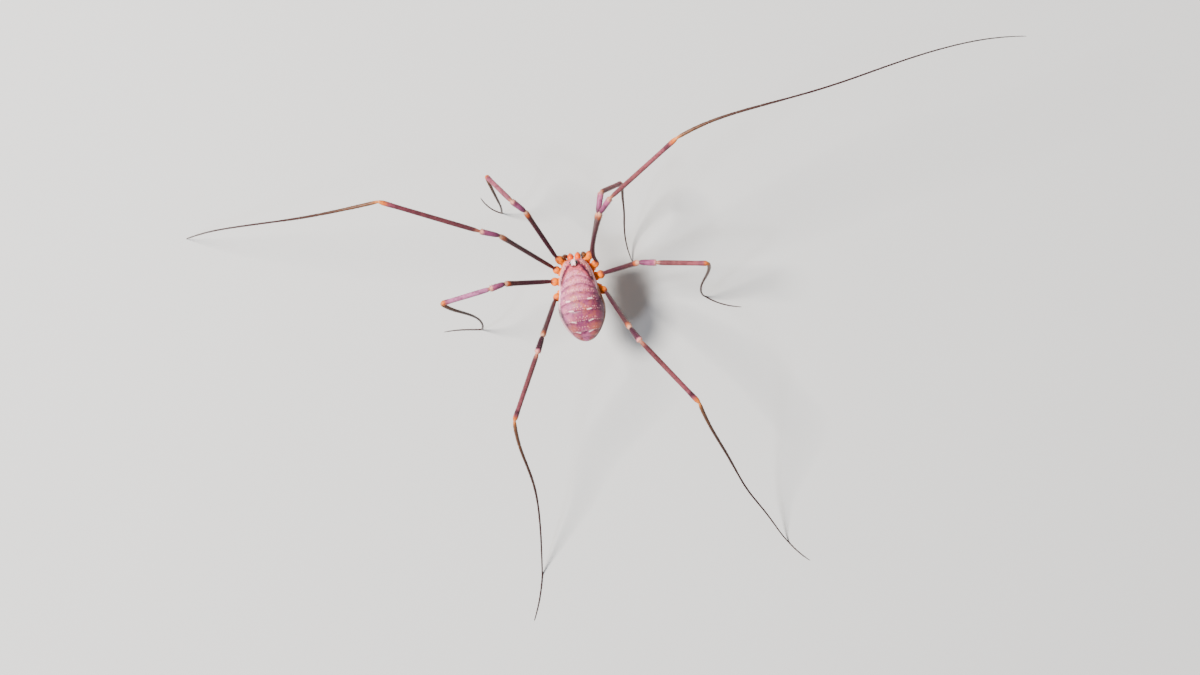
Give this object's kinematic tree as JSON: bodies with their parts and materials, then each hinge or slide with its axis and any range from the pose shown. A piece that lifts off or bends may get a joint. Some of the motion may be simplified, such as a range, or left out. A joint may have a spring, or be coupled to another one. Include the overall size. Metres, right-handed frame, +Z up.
{
  "type": "harvestman",
  "caption": "Life-size still model of a long-legged harvestman standing on its tarsi with one long second leg raised as a feeler.",
  "frame": {"origin": "centre of the bounding box at floor level, under the animal", "axes": "+X the animal's right side, +Y ahead of it, +Z up"},
  "size_m": [0.074, 0.0422, 0.0232],
  "materials": {
    "prosoma": "rose-brown chitin with purple marks, satin",
    "opisthosoma": "dusty rose chitin plates with whitish dashes, satin",
    "ocularium": "cream-white chitin, satin",
    "eye": "black lens, glossy",
    "chelicera": "orange chitin, satin",
    "pedipalp": "orange-red chitin, satin",
    "trochanter": "saturated orange chitin, satin",
    "femur": "dark purple-brown chitin with an orange end, satin",
    "patella": "purple-pink chitin, satin",
    "tibia": "pinkish brown chitin with a dark band and an orange end, satin",
    "metatarsus": "tan-brown to purple-black chitin, satin",
    "tarsus": "very dark ringed chitin with a reddish sheen"
  },
  "bodies": {
    "root": {"prosoma": "prosoma", "opisthosoma": "opisthosoma", "ocularium": "ocularium", "eye_left": "eye", "chelicera_left": "chelicera", "pedipalp_left": "pedipalp", "trochanter_left_1": "trochanter", "femur_left_1": "femur", "patella_left_1": "patella", "tibia_left_1": "tibia", "metatarsus_left_1": "metatarsus", "tarsus_left_1": "tarsus", "trochanter_left_2": "trochanter", "femur_left_2": "femur", "patella_left_2": "patella", "tibia_left_2": "tibia", "metatarsus_left_2": "metatarsus", "tarsus_left_2": "tarsus", "trochanter_left_3": "trochanter", "femur_left_3": "femur", "patella_left_3": "patella", "tibia_left_3": "tibia", "metatarsus_left_3": "metatarsus", "tarsus_left_3": "tarsus", "trochanter_left_4": "trochanter", "femur_left_4": "femur", "patella_left_4": "patella", "tibia_left_4": "tibia", "metatarsus_left_4": "metatarsus", "tarsus_left_4": "tarsus", "eye_right": "eye", "chelicera_right": "chelicera", "pedipalp_right": "pedipalp", "trochanter_right_1": "trochanter", "femur_right_1": "femur", "patella_right_1": "patella", "tibia_right_1": "tibia", "metatarsus_right_1": "metatarsus", "tarsus_right_1": "tarsus", "trochanter_right_2": "trochanter", "femur_right_2": "femur", "patella_right_2": "patella", "tibia_right_2": "tibia", "metatarsus_right_2": "metatarsus", "tarsus_right_2": "tarsus", "trochanter_right_3": "trochanter", "femur_right_3": "femur", "patella_right_3": "patella", "tibia_right_3": "tibia", "metatarsus_right_3": "metatarsus", "tarsus_right_3": "tarsus", "trochanter_right_4": "trochanter", "femur_right_4": "femur", "patella_right_4": "patella", "tibia_right_4": "tibia", "metatarsus_right_4": "metatarsus", "tarsus_right_4": "tarsus"}
  },
  "joints": []
}
